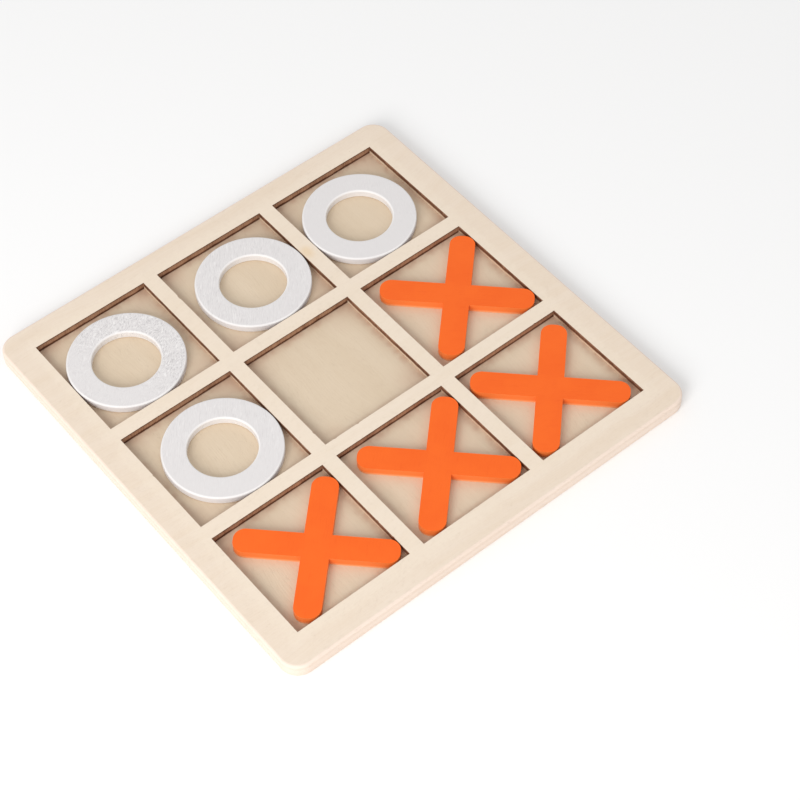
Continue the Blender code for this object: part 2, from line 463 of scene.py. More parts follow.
def make_painted_grain_group():
    """Paint over wood: fine ridges along X that swirl where Swirl is high, broken by a soft
    patchiness. Height is the relief, and Ridge and Hollow are 1 on its sharpest ridges and
    hollows."""
    tree, w, given, result = new_group(
        "Painted Grain", "ShaderNodeTree",
        [
            ("Vector", "Vector", None),
            ("Line Width", "Float", 0.35 * MM),
            ("Line Length", "Float", 9.0),
            ("Swirl", "Float", 0.4),
            ("Patchiness", "Float", 0.5),
        ],
        [
            ("Height", "Float", None),
            ("Ridge", "Float", None),
            ("Hollow", "Float", None),
        ],
    )
    bend = w.add("ShaderNodeTexNoise", {"noise_dimensions": "3D"},
                 {"Vector": given["Vector"], "Scale": 190.0, "Detail": 2.0}).outputs["Color"]
    bend = w.vector("SUBTRACT", bend, (0.5, 0.5, 0.5))
    bend = w.vector("SCALE", bend, scale=w.times(given["Swirl"], 7 * MM))
    bent = w.parts(w.vector("ADD", given["Vector"], bend))
    lines = w.noise(w.stretched(bent, given["Line Width"], given["Line Length"]), 1.0, 2.0, 0.55)
    patch = w.smooth(w.noise(given["Vector"], 240.0, 2.0), 0.34, 0.62)
    patch = w.times_plus(w.minus(patch, 1.0), given["Patchiness"], 1.0)
    w.feed(result["Height"], w.times(w.minus(lines, 0.5), patch))
    w.feed(result["Hollow"], w.times(w.smooth(lines, 0.46, 0.32), patch))
    w.feed(result["Ridge"], w.times(w.smooth(lines, 0.54, 0.68), patch))
    return tree


def make_broken_edge_group():
    """A mask on a piece's rounded edges, for paint wear and for painted highlights: the piece's edge
    attribute, broken up by noise.
    """
    tree, w, given, result = new_group(
        "Broken Edge Mask", "ShaderNodeTree",
        [
            ("Vector", "Vector", None),
            ("Edge", "Float", 0.0),
            ("Amount", "Float", 0.5),
            ("Spot Size", "Float", 1.2 * MM),
        ],
        [("Mask", "Float", None)],
    )
    spots = w.noise(given["Vector"], w.over(1.0, given["Spot Size"]), 3.0, 0.6)
    threshold = w.minus(1.0, given["Amount"])
    broken = w.times(given["Edge"], w.plus(spots, 0.5))
    edge_mask = w.smooth(broken, threshold, w.plus(threshold, 0.35))
    w.feed(result["Mask"], edge_mask)
    return tree


SHARED_GROUPS = {
    "Basswood Grain": make_basswood_group,
    "Recess Wall Distance": make_wall_distance_group,
    "Specks": make_specks_group,
    "Painted Grain": make_painted_grain_group,
    "Broken Edge Mask": make_broken_edge_group,
}


def shared_group(name):
    """The shared group of this name, built the first time it is asked for."""
    return bpy.data.node_groups.get(name) or SHARED_GROUPS[name]()


# ---------------------------------------------------------------------------------------------
# Materials
# ---------------------------------------------------------------------------------------------

# Linear colours of the small marks.
KNOT = (0.80, 0.56, 0.30)
GRID_PIN_KNOT = (0.42, 0.27, 0.16)
PANEL_PIN_KNOT = (0.38, 0.24, 0.14)
# Paler sanded wood, and a painted highlight, on the grid's rounded outer edge.
SANDED_WOOD_AND_HIGHLIGHT = (0.90, 0.79, 0.65)
GLUE = (0.40, 0.24, 0.14)
DUST = (0.42, 0.38, 0.34)
# Paler orange towards the foot of a cross's sides.
PALE_FOOT_ORANGE = (0.92, 0.46, 0.22)
CHIPPED_PAINT = (0.93, 0.52, 0.20)
PAINT_NIB = (0.60, 0.06, 0.01)


def new_material(name, roughness, specular=0.35):
    """A material with its Principled shader, and the Wiring of its tree."""
    material = bpy.data.materials.new(name)
    material.use_nodes = True
    shader = material.node_tree.nodes["Principled BSDF"]
    shader.inputs["Roughness"].default_value = roughness
    shader.inputs["Specular IOR Level"].default_value = specular
    return material, shader, Wiring(material.node_tree)


def object_place(w, centre=(0, 0, 0), turn=0.0):
    """Object coordinates, moved so that centre is the origin and then turned about Z."""
    place = w.add("ShaderNodeTexCoord").outputs["Object"]
    moved = w.add("ShaderNodeMapping", {"vector_type": "TEXTURE"},
                  {"Vector": place, "Location": centre, "Rotation": (0, 0, turn)})
    return place, moved.outputs["Vector"]


def add_bump(w, shader, height, depth, strength=1.0):
    bump = w.add("ShaderNodeBump", None, {"Height": height, "Distance": depth, "Strength": strength})
    w.feed(shader.inputs["Normal"], bump.outputs["Normal"])


def mesh_attribute(w, name):
    return w.add("ShaderNodeAttribute", {"attribute_name": name}).outputs["Fac"]


def broken_edge_mask(w, place, amount, spot_size=1.2 * MM):
    inputs = {"Vector": place, "Edge": mesh_attribute(w, "edge"), "Amount": amount, "Spot Size": spot_size}
    return w.group(shared_group("Broken Edge Mask"), inputs).outputs["Mask"]


def wall_distance(w, place, side):
    from_middle = w.vector("SUBTRACT", place, RECESS_CENTRE)
    return w.group(shared_group("Recess Wall Distance"), {"Vector": from_middle}).outputs[side]


def specks(w, place, spacing, radius):
    inputs = {"Vector": place, "Spacing": spacing, "Radius": radius}
    return w.group(shared_group("Specks"), inputs).outputs["Mask"]


def make_grid_face_material(board):
    """Bare sanded basswood, with one soft yellow knot, a hair of scorch at each recess, and paler sanded
    wood with a painted highlight on the rounded outer edge.
    """
    material, shader, w = new_material("basswood_face", 0.58, 0.30)
    place, along = object_place(w)
    grain = w.group(shared_group("Basswood Grain"), {
        "Vector": along, "Pale": rgba(board.pale_wood), "Streak": rgba(board.streak_wood),
        "Contrast": 0.62,
    })
    knot_centre = RECESS_CENTRE + Vector((0.48, 0.94, 0.0)) * CELL_PITCH
    off = w.vector("SUBTRACT", place, knot_centre)
    off = w.vector("MULTIPLY", off, (1.0, 0.75, 0.0))
    knot = w.smooth(w.vector("LENGTH", off), 3.2 * MM, 0.3 * MM)
    surface = w.tint(grain.outputs["Color"], knot, 0.75, KNOT)
    pin = specks(w, place, 15 * MM, 0.30 * MM)
    surface = w.tint(surface, pin, 0.40, GRID_PIN_KNOT)
    near = w.smooth(wall_distance(w, place, "Outside"), 0.08 * MM, 0.01 * MM)
    ragged = w.smooth(w.noise(place, 1600.0, 2.0), 0.38, 0.62)
    singe = w.times(near, w.times_plus(ragged, 0.55, 0.20))
    surface = w.mix(singe, surface, rgba(board.scorch))
    # Paler sanded wood and a painted highlight along the rounded outer edge.
    sanded = broken_edge_mask(w, place, 0.55)
    surface = w.tint(surface, sanded, 0.35, SANDED_WOOD_AND_HIGHLIGHT)
    w.feed(shader.inputs["Base Color"], surface)
    w.feed(shader.inputs["Roughness"], w.times_plus(grain.outputs["Height"], 0.16, 0.50))
    add_bump(w, shader, grain.outputs["Height"], 0.045 * MM, 0.8)
    return material


def make_panel_face_material(board):
    """The panel's basswood, greyer than the grid, with a smoke stain and painted shade at the foot of each
    wall, darkest in the recess corners.
    """
    material, shader, w = new_material("basswood_panel", 0.62, 0.28)
    place, along = object_place(w, (13 * MM, 4 * MM, 0), math.radians(90))
    grain = w.group(shared_group("Basswood Grain"), {
        "Vector": along, "Pale": rgba(board.pale_panel), "Streak": rgba(board.streak_panel),
        "Band Width": 6.5 * MM, "Contrast": 0.60,
    })
    inside = wall_distance(w, place, "Inside")
    # A smoke stain and painted shade at the foot of each wall.
    haze_and_shade = w.smooth(inside, board.haze_and_shade_reach, 0.0)
    patch = w.smooth(w.noise(place, 320.0, 3.0), 0.30, 0.70)
    haze_and_shade = w.times(haze_and_shade, w.times_plus(patch, 0.55, 0.25))
    # Painted shade gathering in the recess corners.
    corner = w.smooth(wall_distance(w, place, "Corner"), 4.0 * board.haze_and_shade_reach, 0.5 * board.haze_and_shade_reach)
    drift = w.smooth(w.noise(place, 90.0, 2.0), 0.30, 0.65)
    corner = w.times(corner, w.times_plus(drift, 0.36, 0.14))
    haze_and_shade = w.math("MAXIMUM", haze_and_shade, w.times_plus(haze_and_shade, 0.5, corner), clamp=True)
    surface = w.mix(haze_and_shade, grain.outputs["Color"], rgba(board.haze_and_shade))
    # A dark line of char and painted shade at the foot of each wall, mostly left off the walls across X.
    foot_char_and_shade = w.smooth(inside, 0.30 * MM, 0.04 * MM)
    spared_across_x = w.times(wall_distance(w, place, "Across X"), 0.8)
    foot_char_and_shade = w.times(foot_char_and_shade, w.minus(1.0, spared_across_x))
    surface = w.tint(surface, foot_char_and_shade, 0.55, board.scorch)
    pin = specks(w, place, 12 * MM, 0.24 * MM)
    surface = w.tint(surface, pin, 0.35, PANEL_PIN_KNOT)
    w.feed(shader.inputs["Base Color"], surface)
    w.feed(shader.inputs["Roughness"], w.times_plus(grain.outputs["Height"], 0.16, 0.55))
    add_bump(w, shader, grain.outputs["Height"], 0.05 * MM, 0.8)
    return material


def make_ply_edge_material(name, board, low, high):
    """The sanded outer edge of one sheet: two pale face plies, a darker end-grain core between
    them, and a thin brown line of glue at each joint."""
    material, shader, w = new_material(name, 0.66, 0.25)
    place, along = object_place(w)
    _, _, z = w.parts(place)
    ply = w.over(w.minus(z, low), (high - low) / PLIES)
    from_core = w.math("ABSOLUTE", w.minus(ply, PLIES / 2))
    core = w.minus(1.0, w.smooth(from_core, 0.46, 0.54))
    face = w.group(shared_group("Basswood Grain"), {
        "Vector": along, "Pale": rgba(board.pale_edge), "Streak": rgba(board.streak_edge),
        "Band Width": 3.0 * MM, "Contrast": 0.7,
    })
    fine = w.vector("MULTIPLY", place, (2600.0, 2600.0, 1100.0))
    end_grain = w.smooth(w.noise(fine, 1.0, 3.0, 0.6), 0.3, 0.75)
    core_colour = w.mix(end_grain, rgba(board.streak_edge), rgba(board.core_wood))
    surface = w.mix(w.times(core, 0.22), face.outputs["Color"], core_colour)
    joint = w.math("ABSOLUTE", w.minus(w.math("FRACT", w.plus(ply, 0.5)), 0.5))
    glue = w.times(w.smooth(joint, 0.07, 0.015), w.smooth(ply, 0.4, 0.6))
    glue = w.times(glue, w.smooth(ply, PLIES - 0.4, PLIES - 0.6))
    broken = w.smooth(w.noise(place, 420.0, 2.0), 0.30, 0.60)
    surface = w.tint(surface, w.times(glue, broken), 0.22, GLUE)
    w.feed(shader.inputs["Base Color"], surface)
    w.feed(shader.inputs["Roughness"], w.times_plus(end_grain, 0.12, 0.58))
    add_bump(w, shader, w.times_plus(end_grain, core, face.outputs["Height"]), 0.05 * MM, 0.7)
    return material


def make_scorched_wall_material(board):
    """A laser-cut wall: upright striations from toast to scorch. Walls across Y are charred in the lower
    ply, with painted shade at the foot. Walls across X are darkest half way down, and turn as pale as the
    panel towards the foot."""
    material, shader, w = new_material("scorched_wall", 0.74, 0.22)
    place, _ = object_place(w)
    _, _, z = w.parts(place)
    down = w.over(w.minus(GRID_HIGH.z, z), GRID_HIGH.z - SHEET_SEAM)
    streak_place = w.vector("MULTIPLY", place, (1, 1, 0.10))
    streaks = w.noise(streak_place, 1.0 / (0.9 * board.striation_pitch), 3.0, 0.6)
    broad = w.noise(w.vector("MULTIPLY", place, (1, 1, 0.35)), 260.0, 2.0)
    ragged = w.times_plus(w.minus(broad, 0.5), 0.30, down)
    burn = w.times_plus(w.smooth(streaks, 0.34, 0.66), 0.30, w.times(w.smooth(broad, 0.32, 0.68), 0.25))

    lip = w.smooth(down, 0.26, 0.04)
    # Walls across Y darken from the lower ply to the foot: char, with painted shade at the joint.
    foot = w.smooth(ragged, 0.60, 0.86)
    along_y = w.times_plus(lip, 0.95, w.times(foot, 1.15))
    middle = w.smooth(w.math("ABSOLUTE", w.minus(ragged, 0.43)), 0.30, 0.10)
    along_x = w.times_plus(lip, 0.50, w.times(middle, 0.90))
    across_x = wall_distance(w, place, "Across X")
    profile = w.times(w.minus(along_x, along_y), across_x)
    burn = w.plus(burn, w.plus(profile, along_y))

    brown = w.mix(w.smooth(burn, 0.05, 0.75), rgba(board.toast), rgba(board.scorch))
    surface = w.mix(w.smooth(burn, 0.75, 1.45), brown, rgba(board.char))
    glue = w.smooth(w.math("ABSOLUTE", w.minus(down, 1 / PLIES)), 0.05, 0.01)
    surface = w.tint(surface, glue, 0.30, board.char)
    # Walls across X turn as pale as the panel towards the foot.
    pale_foot = w.times(w.smooth(ragged, 0.64, 0.82), across_x)
    surface = w.tint(surface, pale_foot, 0.80, board.pale_panel)
    w.feed(shader.inputs["Base Color"], surface)
    w.feed(shader.inputs["Roughness"], w.times_plus(streaks, 0.2, 0.62))
    add_bump(w, shader, streaks, 0.08 * MM, 0.9)
    return material


class GrainLook(NamedTuple):
    """How a ring's wood shows through its paint. Angles are in degrees from +X towards +Y."""

    direction: float
    line_width: float
    line_length: float               # over the line width
    swirl: float
    patchiness: float
    depth: float
    # How strongly painted shade and painted highlights mark the grain's relief.
    contrast: float
    strong_side: float               # which way from the ring's centre the relief is strongest
    lean: float                      # how much weaker it is on the other side


NOUGHT_GRAIN = (
    GrainLook(38.0, 0.34 * MM, 4.0, 0.75, 0.40, 0.200 * MM, 1.70, 20.0, 0.80),
    GrainLook(52.0, 0.25 * MM, 12.0, 0.25, 0.35, 0.075 * MM, 0.62, 140.0, 0.35),
    GrainLook(60.0, 0.34 * MM, 9.0, 0.35, 0.75, 0.030 * MM, 0.18, 50.0, 0.50),
    GrainLook(52.0, 0.25 * MM, 14.0, 0.22, 0.40, 0.055 * MM, 0.45, 60.0, 0.60),
)

# How each cross's paint lies: direction of the brushing in degrees and depth of the relief.
CROSS_BRUSHING = (
    (-42.0, 0.034 * MM),
    (45.0, 0.016 * MM),
    (40.0, 0.018 * MM),
    (-38.0, 0.030 * MM),
)


def make_white_paint_material(name, nought, centre, grain):
    """Satin white paint over a ring's own wood grain, with painted shade in the grain's hollows and painted
    highlights on its ridges and rounded edges.
    """
    material, shader, w = new_material(name, 0.46, 0.35)
    place, along = object_place(w, centre, math.radians(grain.direction))
    relief = w.group(shared_group("Painted Grain"), {
        "Vector": along, "Line Width": grain.line_width, "Line Length": grain.line_length,
        "Swirl": grain.swirl, "Patchiness": grain.patchiness,
    })
    side = math.radians(grain.strong_side)
    off_centre = w.vector("SUBTRACT", place, tuple(centre))
    towards = w.vector("DOT_PRODUCT", off_centre, (math.cos(side), math.sin(side), 0.0))
    strong = w.smooth(towards, -12 * MM, 9 * MM)
    strength = w.times_plus(strong, grain.contrast * grain.lean, grain.contrast * (1.0 - grain.lean))
    # Painted shade in the grain's hollows and painted highlights on its ridges, standing in for the light
    # and shade of the relief.
    low = w.times(relief.outputs["Hollow"], strength)
    surface = w.mix(low, rgba(nought.paint), rgba(nought.hollow_shade))
    bright = w.times(relief.outputs["Ridge"], strength)
    surface = w.mix(bright, surface, rgba(nought.ridge_highlight))
    # A painted highlight along the rounded edges.
    edge_highlight = broken_edge_mask(w, along, 0.85)
    surface = w.tint(surface, edge_highlight, 0.70, nought.ridge_highlight)
    dust = specks(w, along, 5.5 * MM, 0.15 * MM)
    surface = w.tint(surface, dust, 0.30, DUST)
    w.feed(shader.inputs["Base Color"], surface)
    w.feed(shader.inputs["Roughness"], w.times_plus(relief.outputs["Height"], 0.30, 0.46))
    raised = w.times(relief.outputs["Height"], strength)
    add_bump(w, shader, raised, grain.depth / grain.contrast)
    return material


def make_orange_paint_material(name, cross, centre, brushing):
    """Satin orange paint, smooth on top, with faint brushing and nibs, painted light on the upright sides,
    paler orange towards their foot, and thin paint with a painted highlight at the edges.
    """
    direction, depth = brushing
    material, shader, w = new_material(name, 0.42, 0.22)
    _, along = object_place(w, centre, math.radians(direction))
    relief = w.group(shared_group("Painted Grain"), {
        "Vector": along, "Line Width": 0.40 * MM, "Line Length": 16.0, "Swirl": 0.20,
        "Patchiness": 0.70,
    })
    cloud = w.smooth(w.noise(along, 130.0, 3.0), 0.35, 0.70)
    tone = w.times_plus(relief.outputs["Hollow"], 0.30, w.times(cloud, 0.35))
    surface = w.mix(tone, rgba(cross.paint), rgba(cross.deep))
    # The upright sides are painted paler orange, as painted light.
    side = w.smooth(mesh_attribute(w, "side"), 0.45, 0.95)
    surface = w.mix(side, surface, rgba(cross.lit_sides))
    # Paler orange towards the foot of the upright sides.
    foot = w.smooth(w.parts(along)[2], 1.1 * MM, 0.1 * MM)
    surface = w.tint(surface, w.times(foot, side), 0.65, PALE_FOOT_ORANGE)
    # Lighter orange along the rounded edges: thin paint, with a painted highlight.
    edge_highlight = broken_edge_mask(w, along, 0.92, 0.9 * MM)
    surface = w.tint(surface, edge_highlight, 0.85, cross.thin)
    chipped = broken_edge_mask(w, w.vector("ADD", along, (0.03, 0.01, 0.0)), 0.30, 1.6 * MM)
    surface = w.tint(surface, chipped, 0.45, CHIPPED_PAINT)
    nibs = specks(w, along, 4.0 * MM, 0.14 * MM)
    surface = w.tint(surface, nibs, 0.35, PAINT_NIB)
    w.feed(shader.inputs["Base Color"], surface)
    w.feed(shader.inputs["Roughness"], w.times_plus(cloud, 0.10, 0.38))
    height = w.times_plus(nibs, 0.5, relief.outputs["Height"])
    add_bump(w, shader, height, depth)
    return material


def make_floor_material(stage):
    material, shader, _ = new_material("pale_floor", 0.85, 0.1)
    shader.inputs["Base Color"].default_value = rgba(stage.floor_colour)
    return material


# ---------------------------------------------------------------------------------------------
# Geometry node trees
# ---------------------------------------------------------------------------------------------


def close_prism(w, raised, cap):
    """An extruded face, closed underneath by the same face turned over."""
    under = w.add("GeometryNodeFlipFaces", None, {"Mesh": cap}).outputs[0]
    both = w.add("GeometryNodeJoinGeometry")
    w.feed(both.inputs[0], raised)
    w.feed(both.inputs[0], under)
    inputs = {"Geometry": both.outputs[0], "Distance": WELD_DISTANCE}
    return w.add("GeometryNodeMergeByDistance", None, inputs).outputs[0]


def finish_tree(w, geometry, material, result):
    """Ends a tree in Realize Instances and Set Material."""
    real = w.add("GeometryNodeRealizeInstances", None, {"Geometry": geometry}).outputs[0]
    painted = w.add("GeometryNodeSetMaterial", None, {"Geometry": real, "Material": material})
    w.feed(result["Geometry"], painted.outputs[0])


def make_recess_tree():
    """Nine square prisms with laser-cut walls. Taken away from a sheet, they leave its recesses."""
    tree, w, given, result = new_group(
        "Laser Cut Recesses", "GeometryNodeTree",
        [
            ("Cell Side", "Float", CELL_SIDE),
            ("Cell Pitch", "Float", CELL_PITCH),
            ("Centre", "Vector", None),
            ("Bottom", "Float", 0.0),
            ("Top", "Float", 0.01),
            ("Lip", "Float", 0.005),
            ("Wall Columns", "Int", 150),
            ("Wall Rows", "Int", 10),
            ("Striation Pitch", "Float", 0.32 * MM),
            ("Striation Depth", "Float", 0.045 * MM),
            ("Nick Depth", "Float", 0.2 * MM),
            ("Material", "Material", None),
        ],
        [("Geometry", "Geometry", None)],
    )
    square = w.add("GeometryNodeCurvePrimitiveQuadrilateral", {"mode": "RECTANGLE"},
                   {"Width": given["Cell Side"], "Height": given["Cell Side"]}).outputs[0]
    around = w.add("GeometryNodeResampleCurve", None,
                   {"Curve": square, "Count": w.times(given["Wall Columns"], 4)}).outputs[0]
    cap = w.add("GeometryNodeFillCurve", {"mode": "NGONS"}, {"Curve": around}).outputs[0]
    height = w.minus(given["Top"], given["Bottom"])
    step = w.over(height, given["Wall Rows"])
    repeat_in = w.add("GeometryNodeRepeatInput", None, {"Iterations": given["Wall Rows"]})
    repeat_out = w.add("GeometryNodeRepeatOutput")
    repeat_in.pair_with_output(repeat_out)
    repeat_out.repeat_items.new("BOOLEAN", "Cap")
    w.feed(repeat_in.inputs["Geometry"], cap)
    repeat_in.inputs["Cap"].default_value = True
    raised = w.add("GeometryNodeExtrudeMesh", {"mode": "FACES"}, {
        "Mesh": repeat_in.outputs["Geometry"], "Selection": repeat_in.outputs["Cap"],
        "Offset": w.join(0.0, 0.0, 1.0), "Offset Scale": step, "Individual": False,
    })
    w.feed(repeat_out.inputs["Geometry"], raised.outputs["Mesh"])
    w.feed(repeat_out.inputs["Cap"], raised.outputs["Top"])
    prism = close_prism(w, repeat_out.outputs["Geometry"], cap)

    # Each point of a wall remembers which way is out, so it can be moved after it is copied.
    x, y, _ = w.parts(w.add("GeometryNodeInputPosition").outputs[0])
    face = w.times(given["Cell Side"], 0.4999)
    out_x = w.times(w.math("SIGN", x), w.math("GREATER_THAN", w.math("ABSOLUTE", x), face))
    out_y = w.times(w.math("SIGN", y), w.math("GREATER_THAN", w.math("ABSOLUTE", y), face))
    marked = w.add("GeometryNodeStoreNamedAttribute", {"data_type": "FLOAT_VECTOR", "domain": "POINT"},
                   {"Geometry": prism, "Name": "outward", "Value": w.join(out_x, out_y, 0.0)})

    reach = w.times(given["Cell Pitch"], CELLS_PER_SIDE - 1)
    cells = w.add("GeometryNodeMeshGrid", None, {
        "Size X": reach, "Size Y": reach, "Vertices X": CELLS_PER_SIDE, "Vertices Y": CELLS_PER_SIDE,
    }).outputs["Mesh"]
    copies = w.add("GeometryNodeInstanceOnPoints", None,
                   {"Points": cells, "Instance": marked.outputs[0]}).outputs[0]
    copies = w.add("GeometryNodeRealizeInstances", None, {"Geometry": copies}).outputs[0]
    lift = w.vector("ADD", given["Centre"], w.join(0.0, 0.0, given["Bottom"]))
    copies = w.add("GeometryNodeTransform", None,
                   {"Geometry": copies, "Translation": lift}).outputs[0]

    place = w.add("GeometryNodeInputPosition").outputs[0]
    upright = w.vector("MULTIPLY", place, (1, 1, 0.12))
    scale = w.over(1.0, given["Striation Pitch"])
    marks = w.minus(w.noise(upright, scale, 1.0), 0.5)
    wander = w.minus(w.noise(place, 150.0, 1.0), 0.5)
    depth = w.times(w.plus(w.times(marks, 2.0), wander), given["Striation Depth"])
    lip_depth = w.minus(given["Lip"], w.parts(place)[2])
    near_lip = w.smooth(lip_depth, 1.3 * MM, 0.4 * MM)
    rare = w.smooth(w.noise(w.vector("MULTIPLY", place, (1, 1, 0.25)), 420.0, 0.0), 0.80, 0.87)
    nick = w.times(w.times(rare, near_lip), given["Nick Depth"])
    out = w.add("GeometryNodeInputNamedAttribute", {"data_type": "FLOAT_VECTOR"},
                {"Name": "outward"}).outputs["Attribute"]
    offset = w.vector("SCALE", out, scale=w.plus(depth, nick))
    roughened = w.add("GeometryNodeSetPosition", None, {"Geometry": copies, "Offset": offset}).outputs[0]
    plain = w.add("GeometryNodeRemoveAttribute", None, {"Geometry": roughened, "Name": "outward"})
    finish_tree(w, plain.outputs[0], given["Material"], result)
    return tree


def make_nought_tree():
    """A ring: a rounded rectangle carried round a circle, with the wood's relief raised on it."""
    tree, w, given, result = new_group(
        "Painted Nought", "GeometryNodeTree",
        [
            ("Outer Radius", "Float", 18.5 * MM),
            ("Band Width", "Float", 7.8 * MM),
            ("Thickness", "Float", 3.0 * MM),
            ("Edge Rounding", "Float", 0.5 * MM),
            ("Turn Steps", "Int", 240),
            ("Section Steps", "Int", 96),
            ("Relief", "Float", 0.05 * MM),
            ("Seed", "Float", 0.0),
            ("Material", "Material", None),
        ],
        [("Geometry", "Geometry", None)],
    )
    half_band = w.times(given["Band Width"], 0.5)
    circle = w.add("GeometryNodeCurvePrimitiveCircle", {"mode": "RADIUS"}, {
        "Resolution": given["Turn Steps"], "Radius": w.minus(given["Outer Radius"], half_band),
    }).outputs["Curve"]
    section = w.add("GeometryNodeCurvePrimitiveQuadrilateral", {"mode": "RECTANGLE"},
                    {"Width": given["Band Width"], "Height": given["Thickness"]}).outputs[0]
    section = w.add("GeometryNodeFilletCurve", {"mode": "POLY"},
                    {"Curve": section, "Count": RING_FILLET_STEPS,
                     "Radius": given["Edge Rounding"]}).outputs[0]
    section = w.add("GeometryNodeResampleCurve", None,
                    {"Curve": section, "Count": given["Section Steps"]}).outputs[0]
    ring = w.add("GeometryNodeCurveToMesh", None, {"Curve": circle, "Profile Curve": section}).outputs[0]
    lift = w.join(0.0, 0.0, w.times(given["Thickness"], 0.5))
    ring = w.add("GeometryNodeTransform", None, {"Geometry": ring, "Translation": lift}).outputs[0]
    place = w.add("GeometryNodeInputPosition").outputs[0]
    seeded = w.vector("ADD", place, w.join(given["Seed"], 0.0, 0.0))
    bumps = w.minus(w.noise(w.vector("MULTIPLY", seeded, (1.0, 0.45, 1.0)), 620.0, 2.0), 0.5)
    # The underside stays flat: relief grows from the panel up.
    height = w.over(w.parts(place)[2], given["Thickness"], clamp=True)
    amount = w.times(w.times(bumps, given["Relief"]), w.smooth(height, 0.0, 0.3))
    normal = w.add("GeometryNodeInputNormal").outputs["Normal"]
    ring = w.add("GeometryNodeSetPosition", None,
                 {"Geometry": ring, "Offset": w.vector("SCALE", normal, scale=amount)}).outputs[0]
    ring = w.add("GeometryNodeSetShadeSmooth", {"domain": "FACE"}, {"Geometry": ring}).outputs[0]
    finish_tree(w, ring, given["Material"], result)
    return tree


def make_cross_tree():
    """A cross: one round-ended bar, and the same bar turned a quarter, joined into one solid."""
    tree, w, given, result = new_group(
        "Painted Cross", "GeometryNodeTree",
        [
            ("Overall Width", "Float", 37.2 * MM),
            ("Arm Width", "Float", 8.15 * MM),
            ("End Radius", "Float", 3.6 * MM),
            ("Thickness", "Float", 3.0 * MM),
            ("End Steps", "Int", 14),
            ("Material", "Material", None),
        ],
        [("Geometry", "Geometry", None)],
    )
    # The corner arcs at a bar's end touch the overall width, which fixes the bar's length.
    reach = w.minus(w.times(given["Overall Width"], 0.5), given["End Radius"])
    reach = w.times(reach, math.sqrt(2))
    half_arm = w.times(given["Arm Width"], 0.5)
    half_length = w.plus(w.minus(reach, half_arm), w.times(given["End Radius"], 2.0))
    outline = w.add("GeometryNodeCurvePrimitiveQuadrilateral", {"mode": "RECTANGLE"}, {
        "Width": w.times(half_length, 2.0), "Height": given["Arm Width"],
    }).outputs[0]
    outline = w.add("GeometryNodeFilletCurve", {"mode": "POLY"}, {
        "Curve": outline, "Count": given["End Steps"], "Radius": given["End Radius"],
    }).outputs[0]
    face = w.add("GeometryNodeFillCurve", {"mode": "NGONS"}, {"Curve": outline}).outputs[0]
    raised = w.add("GeometryNodeExtrudeMesh", {"mode": "FACES"}, {
        "Mesh": face, "Offset": w.join(0.0, 0.0, 1.0), "Offset Scale": given["Thickness"],
        "Individual": False,
    }).outputs["Mesh"]
    bar = close_prism(w, raised, face)
    union = w.add("GeometryNodeMeshBoolean", {"operation": "UNION", "solver": "EXACT"})
    for angle in (math.radians(45), math.radians(-45)):
        turned = w.add("GeometryNodeTransform", None, {"Geometry": bar, "Rotation": (0, 0, angle)})
        w.feed(union.inputs["Mesh 2"], turned.outputs[0])
    finish_tree(w, union.outputs["Mesh"], given["Material"], result)
    return tree


def mesh_from_tree(tree, name, values):
    """The plain mesh that a geometry node tree makes with these input values."""
    helper = bpy.data.objects.new(name + "_helper", bpy.data.meshes.new(name + "_helper"))
    bpy.context.scene.collection.objects.link(helper)
    modifier = helper.modifiers.new(tree.name, "NODES")
    modifier.node_group = tree
    for socket in tree.interface.items_tree:
        if socket.in_out == "INPUT" and socket.name in values:
            modifier[socket.identifier] = values[socket.name]
    mesh = evaluated_mesh(helper, name)
    bpy.data.objects.remove(helper, do_unlink=True)
    return mesh


# ---------------------------------------------------------------------------------------------
# Mesh helpers
# ---------------------------------------------------------------------------------------------


def evaluated_mesh(obj, name):
    bpy.context.view_layer.update()
    graph = bpy.context.evaluated_depsgraph_get()
    mesh = bpy.data.meshes.new_from_object(obj.evaluated_get(graph))
    mesh.name = name
    return mesh


def add_piece(name, mesh):
    piece = bpy.data.objects.new(name, mesh)
    bpy.context.scene.collection.objects.link(piece)
    return piece


def apply_modifiers(piece):
    """Replaces the piece's mesh by its evaluated one and drops its modifiers."""
    mesh = evaluated_mesh(piece, piece.name)
    piece.modifiers.clear()
    piece.data = mesh


def face_outward(mesh):
    """Turns a closed mesh's faces outwards if they point in."""
    shape = bmesh.new()
    shape.from_mesh(mesh)
    if shape.calc_volume(signed=True) < 0:
        bmesh.ops.reverse_faces(shape, faces=shape.faces)
        shape.to_mesh(mesh)
    open_edges = sum(not edge.is_manifold for edge in shape.edges)
    shape.free()
    if open_edges:
        raise RuntimeError(f"{mesh.name} has {open_edges} open edges")


def store_edge_attributes(mesh):
    """Two point attributes. edge is 1 on a rounded edge between a face and a side and 0 off it,
    and side is 1 on an upright side and 0 on a level face."""
    level = [min(1.0, abs(normal.vector.z)) for normal in mesh.vertex_normals]
    edge = mesh.attributes.new("edge", "FLOAT", "POINT")
    edge.data.foreach_set("value", [2 * up * math.sqrt(1 - up * up) for up in level])
    side = mesh.attributes.new("side", "FLOAT", "POINT")
    side.data.foreach_set("value", [1 - up for up in level])


def rounded_square(side, radius, spacing, corner_steps):
    """(position, outward direction) pairs round a square with rounded corners."""
    straight = side / 2 - radius
    runs = max(1, round(2 * straight / spacing))
    pairs = []
    for quarter in range(4):
        turn = Matrix.Rotation(quarter * math.pi / 2, 2)
        for step in range(runs):
            along = straight * (2 * step / runs - 1)
            pairs.append((turn @ Vector((side / 2, along)), turn @ Vector((1, 0))))
        for step in range(corner_steps):
            angle = math.pi / 2 * step / corner_steps
            out = Vector((math.cos(angle), math.sin(angle)))
            pairs.append((turn @ (Vector((straight, straight)) + radius * out), turn @ out))
    return pairs


